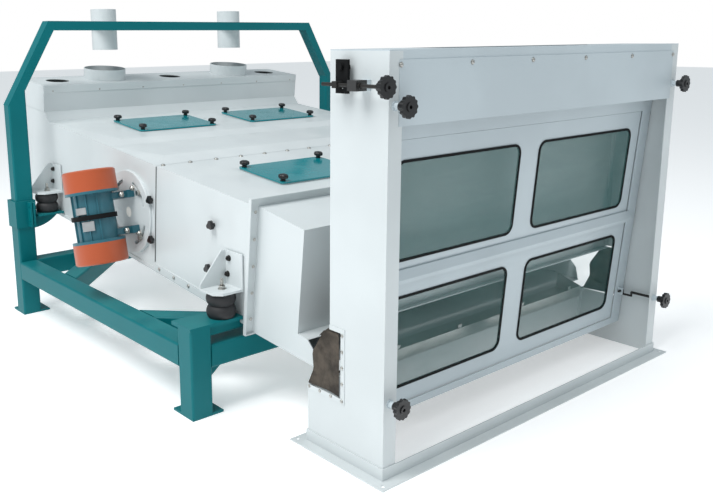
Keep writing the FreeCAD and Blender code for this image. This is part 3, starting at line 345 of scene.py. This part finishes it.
def screw(mesh, where, size):
    """Round-headed screw with a washer."""
    washer = [(size * 1.2, 0), (size * 1.2, size * 0.15)]
    head = [(size, size * 0.15), (size, size * 0.4), (size * 0.75, size * 0.66), (size * 0.3, size * 0.78)]
    stack(mesh, where, washer, 16)
    stack(mesh, where, head, 16)


# ---------------------------------------------------------------------------------------------
# Star knobs. Four on each hatch lid, moulded in black plastic: six lobes, domed, on a short hub
# that is threaded on the lid's stud.
# ---------------------------------------------------------------------------------------------
KNOB_RADIUS, LOBES, LOBE_DEPTH = 18.5, 6, 0.13
KNOB_HUB = ((10, 0), (9, 4), (9, 11))
KNOB_DOME = ((0.86, 10.0), (0.98, 12.0), (1.0, 17.0), (0.93, 21.5), (0.7, 24.0), (0.35, 25.0))
HATCH_X, HATCH_W, HATCH_L = 300.0, 400.0, 265.0
KNOB_INSET = 18.0


def lobed(share, angle):
    """Reach of the knob's edge at an angle, for a share of its radius."""
    valley = (0.5 + 0.5 * math.cos(LOBES * angle)) ** 1.5
    return KNOB_RADIUS * share * (1 - LOBE_DEPTH * valley * share)


for row, hatch_y, lid_top in (("rear", 1855.0, 785.5), ("front", 875.0, 779.0)):
    for side, hatch_x in (("left", -HATCH_X), ("right", HATCH_X)):
        knobs = bmesh.new()
        for sx in (-1, 1):
            for sy in (-1, 1):
                x = hatch_x + sx * (HATCH_W / 2 - KNOB_INSET)
                y = hatch_y + sy * (HATCH_L / 2 - KNOB_INSET)
                where = level @ turned(x, y, lid_top, (0, 0, 1), 17 * sx + 9 * sy)
                stack(knobs, where, KNOB_HUB, 20)
                stack(knobs, where, KNOB_DOME, 60, outline=lobed)
        keep(knobs, "%s_%s_hatch_knobs" % (row, side), "%s_%s_lid" % (row, side), moulded)


# ---------------------------------------------------------------------------------------------
# Screws of the sieve body. A row across the seam between the decks, four in the main deck's
# middle, a row on the feed box, two on the hood, and rows down the body's front edges and low
# on its flanks. All are zinc-plated.
# ---------------------------------------------------------------------------------------------
BODY_HALF, PANEL_INSIDE = 740.0, 739.5
SEAM_LOW, SEAM_HIGH = 392, 765
UP, FORWARD = (0, 0, 1), (0, -1, 0)
heads = bmesh.new()
for k in range(13):
    screw(heads, level @ turned(-715 + 119 * k, 1181, DECK, UP), 7.5)
for x, y in ((-39, 1918), (-36, 1693), (38, 1640)):
    screw(heads, level @ turned(x, y, DECK + 2, UP), 6)
screw(heads, level @ turned(-12, 1351, DECK + 1, UP), 6)
for k in range(7):
    screw(heads, level @ turned(-699 + 233 * k, 2180, 899, FORWARD), 5)
for x in (471, 350):
    screw(heads, level @ turned(x, 480, 750, UP), 5)
for side in (-1, 1):
    for k in range(5):
        screw(heads, level @ turned(side * 736, 581, 380 + 92 * k, FORWARD), 5)
    for y, z in ((1152, 372), (1048, 372), (949, 372), (1500, 364), (1700, 364), (1900, 364)):
        screw(heads, level @ turned(side * (BODY_HALF + 3), y, z, (side, 0, 0)), 6)
keep(heads, "body_screws", "sieve_body", zinc)


def flank_strip(mesh, side, stands_out, y_low, y_high):
    """Adds a strip that runs up one flank and stands out of its plate."""
    inner, outer = sorted((side * PANEL_INSIDE, side * (BODY_HALF + stands_out)))
    slab(mesh, level, (inner, y_low, SEAM_LOW), (outer, y_high, SEAM_HIGH))


# On each flank a thin dark grey line runs up the seam between the decks: it is painted shadow of the gap at
# the seam. Next to it stands a white strip that covers the seam.
seam_shadow_line = bmesh.new()
strip = bmesh.new()
for side in (-1, 1):
    flank_strip(seam_shadow_line, side, 3.2, 1184.5, 1187.5)
    flank_strip(strip, side, 3, 1188, 1213)
slab(strip, level, (-742, 2177, 892), (742, 2180.5, 926))
keep(seam_shadow_line, "flank_seam_painted_shadow", "sieve_body", seam_painted_shadow)
keep(strip, "seam_strips", "sieve_body", panel_white, 0.0006)


# ---------------------------------------------------------------------------------------------
# Brackets on the springs. A stud with its nut on each seat, and two black bolts through the back
# plate.
# ---------------------------------------------------------------------------------------------
SEAT_X, BACK_PLATE_X, SEAT_THICKNESS = 795, 748, 8
spring_nuts = bmesh.new()
bracket_bolts = bmesh.new()
for side in (-1, 1):
    for low, high in (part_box("front_springs"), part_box("rear_springs")):
        y = (low[1] + high[1]) / 2 * 1000
        z = high[2] * 1000 + SEAT_THICKNESS
        seat = turned(side * SEAT_X, y, z, UP)
        nut(spring_nuts, seat, 12)
        stack(spring_nuts, seat, [(6, 10), (6, 34), (5, 36)], 14)
        for dy, dz in ((31, 36), (22, 92)):
            nut(bracket_bolts, turned(side * BACK_PLATE_X, y + dy, z + dz, (side, 0, 0)), 9)
keep(spring_nuts, "spring_nuts", "sieve_body", zinc)
keep(bracket_bolts, "bracket_bolts", "sieve_body", dark_steel)


# ---------------------------------------------------------------------------------------------
# Motors. Nuts on the feet, bolts through the disc and two blank plates on the barrel. Both
# motors lean with their discs.
# ---------------------------------------------------------------------------------------------
MOTOR_X, MOTOR_Y, MOTOR_Z, MOTOR_TILT = 895.0, 1395.0, 552.0, 13.0
FOOT_FACE, FOOT_Y, FOOT_Z = -97, 58, 70
CLAMP_FACE, CLAMP_RADIUS = -131, 124
BARREL, PLATE_TOP = 81, 83.5
for side, name in ((-1, "left"), (1, "right")):
    centre = upright @ Matrix.Translation((side * MOTOR_X / 1000, MOTOR_Y / 1000, MOTOR_Z / 1000)) \
        @ Matrix.Rotation(math.radians(-MOTOR_TILT), 4, "X")
    outwards = (side, 0, 0)
    fasteners = bmesh.new()
    for z in (-FOOT_Z, FOOT_Z):
        for y in (-FOOT_Y, FOOT_Y):
            nut(fasteners, centre @ turned(side * FOOT_FACE, y, z, outwards), 11)
    for angle in (math.radians(a) for a in (45, 135, 225, 315)):
        y, z = CLAMP_RADIUS * math.cos(angle), CLAMP_RADIUS * math.sin(angle)
        nut(fasteners, centre @ turned(side * CLAMP_FACE, y, z, outwards), 10)
    keep(fasteners, name + "_motor_nuts", name + "_motor", zinc)
    plates = bmesh.new()
    facing = 180 if side < 0 else 0
    for around, low, high in ((side * -42, (-22, -50), (26, -14)), (side * -30, (-24, 14), (20, 40))):
        lean = Matrix.Rotation(math.radians(facing + around), 4, "Z")
        slab(plates, centre @ lean, (BARREL, low[0], low[1]), (PLATE_TOP, high[0], high[1]))
    keep(plates, name + "_motor_plates", name + "_motor", plate_grey, 0.0008)


# ---------------------------------------------------------------------------------------------
# Channel. Zinc-plated screws of the front cover, and of the strips that clamp the canvas round
# the notch in each cheek.
# ---------------------------------------------------------------------------------------------
cover_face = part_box("front_cover")[0][1] * 1000 + MIDDLE_Y
strip_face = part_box("sleeve_strips")[1][0] * 1000
channel_screws = bmesh.new()
for x in (-709, -425, -142, 141, 426, 709):
    screw(channel_screws, upright @ turned(x, cover_face, 1147, FORWARD), 6)
for side in (-1, 1):
    for y, z in ((166, 384), (166, 335), (166, 286), (166, 237),
                 (166, 184), (214, 184), (262, 184), (310, 184)):
        screw(channel_screws, upright @ turned(side * strip_face, y, z, (side, 0, 0)), 4.5)
keep(channel_screws, "channel_screws", "base", zinc)


# ---------------------------------------------------------------------------------------------
# Canvas sleeve. One band of cloth round the passage from the channel's notch to the hood,
# stretched at both rims and creased between them.
# ---------------------------------------------------------------------------------------------
weave, cloth, cloth_shader = finish("canvas_brown", Roughness=0.9)
threads = cloth.noise(1400.0, 2.0)
stain = cloth.noise(18.0, 5.0, 0.6)
shade = stain.span(0.3, 0.7) * 0.8 + threads * 0.2
feed(cloth_shader, Base_Color=shade.mix(srgb("29241f"), srgb("5f564c")),
     Normal=bump(cloth, threads * 0.3 + cloth.noise(60.0, 4.0, 0.7) * 0.7, 0.004, 0.9))

RIM_HALF = 755.0
FLANK_STEPS, TOP_STEPS, DEPTH_STEPS = 16, 80, 14


def along(points, share):
    """Point at a share of the length of an open run of points."""
    lengths = [(b - a).length for a, b in zip(points, points[1:])]
    left = share * sum(lengths)
    for a, b, length in zip(points, points[1:], lengths):
        if left <= length + 1e-9:
            return a.lerp(b, left / length)
        left -= length
    return points[-1]


def rim(channel_side):
    """Points round the passage: up the left, over the top, down the right, back underneath."""
    if channel_side:
        flank = [Vector((0, 176, 196)), Vector((0, 176, 384))]
        top, bottom, reach = Vector((0, 222, 387)), Vector((0, 303, 196)), 10
    else:
        flank = [Vector((0, 311, 196)), Vector((0, 286, 250)), Vector((0, 292, 300)), Vector((0, 240, 382))]
        top, bottom, reach = Vector((0, 346, 319)), Vector((0, 311, 196)), 75
    points = []
    for k in range(FLANK_STEPS + 1):
        point = along(flank, k / FLANK_STEPS)
        points.append(Vector((-RIM_HALF, point.y, point.z)))
    for k in range(1, TOP_STEPS):
        x = -RIM_HALF + 2 * RIM_HALF * k / TOP_STEPS
        point = flank[-1].lerp(top, min(1.0, (RIM_HALF - abs(x)) / reach))
        points.append(Vector((x, point.y, point.z)))
    for k in range(FLANK_STEPS + 1):
        point = along(flank, 1 - k / FLANK_STEPS)
        points.append(Vector((RIM_HALF, point.y, point.z)))
    for k in range(1, TOP_STEPS):
        points.append(Vector((RIM_HALF - 2 * RIM_HALF * k / TOP_STEPS, bottom.y, bottom.z)))
    return points


def wave(a, b):
    """Crease pattern between 0 and 1 made of a few crossing folds."""
    folds = math.sin(a * 0.41 + 2.3 * b) + math.sin(a * 0.23 - 3.1 * b + 1.7)
    folds += 0.6 * math.sin(a * 0.97 + 5.2 * b)
    return 0.5 + folds / 5.2


near, far = rim(True), rim(False)
cloth_mesh = bmesh.new()
rows = []
for j in range(DEPTH_STEPS + 1):
    share = j / DEPTH_STEPS
    bulge = math.sin(math.pi * share)
    row = []
    for k, (a, b) in enumerate(zip(near, far)):
        point = a.lerp(b, share)
        lift = 14 * bulge * max(0.0, min(1.0, (RIM_HALF - abs(a.x)) / 75))
        dent = 5.0 * bulge * wave(k, share)
        on_top = FLANK_STEPS < k < FLANK_STEPS + TOP_STEPS
        point.z += lift * (1 if a.z > 300 else 0.3) - (dent if on_top else 0)
        if abs(a.x) > RIM_HALF - 0.5:
            point.x -= math.copysign(dent * 1.6, point.x)
        row.append(cloth_mesh.verts.new(upright @ (point / 1000)))
    rows.append(row)
count = len(near)
for low, high in zip(rows, rows[1:]):
    for k in range(count):
        after = (k + 1) % count
        cloth_mesh.faces.new((low[k], high[k], high[after], low[after])).smooth = True
bmesh.ops.recalc_face_normals(cloth_mesh, faces=cloth_mesh.faces)
cloth_area = sum(face.calc_area() for face in cloth_mesh.faces)
sleeve = keep(cloth_mesh, "canvas_band", "base", weave)
body_of_cloth = sleeve.modifiers.new("cloth", "SOLIDIFY")
body_of_cloth.thickness = 0.0012
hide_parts("canvas_sleeve")


# ---------------------------------------------------------------------------------------------
# Room. A wide pale floor under a white sky, and two broad soft lamps overhead.
# ---------------------------------------------------------------------------------------------
floor_mesh = bmesh.new()
bmesh.ops.create_grid(floor_mesh, x_segments=1, y_segments=1, size=30)
floor_data = bpy.data.meshes.new("floor")
floor_mesh.to_mesh(floor_data)
floor = bpy.data.objects.new("floor", floor_data)
bpy.context.scene.collection.objects.link(floor)
floor_paint = finish("floor_paint", Base_Color=(0.95, 0.95, 0.95, 1), Roughness=0.8,
                     Emission_Color=(1, 1, 1, 1), Emission_Strength=0.34)[0]
floor_data.materials.append(floor_paint)

world = bpy.data.worlds.new("room")
bpy.context.scene.world = world
world.use_nodes = True
sky = world.node_tree.nodes["Background"]
ray = world.node_tree.nodes.new("ShaderNodeLightPath")
seen = Value(world.node_tree, ray.outputs["Is Camera Ray"])
world.node_tree.links.new(seen.mix((0.84, 0.94, 1.0), (1.0, 1.0, 1.0)).socket, sky.inputs["Color"])
world.node_tree.links.new((seen * 0.55 + 0.45).socket, sky.inputs["Strength"])


def lamp(name, at, towards, size, power):
    data = bpy.data.lights.new(name, "AREA")
    data.size = size
    data.energy = power
    thing = bpy.data.objects.new(name, data)
    bpy.context.scene.collection.objects.link(thing)
    aim = (Vector(towards) - Vector(at)).to_track_quat("-Z", "Y")
    thing.matrix_world = Matrix.Translation(at) @ aim.to_matrix().to_4x4()


lamp("key", (-3.6, -0.6, 5.4), (0, 0, 0.5), 3.0, 275)
lamp("fill", (1.6, -3.4, 5.2), (0.2, -0.6, 0.2), 3.5, 45)

bpy.context.scene.view_settings.view_transform = "Standard"
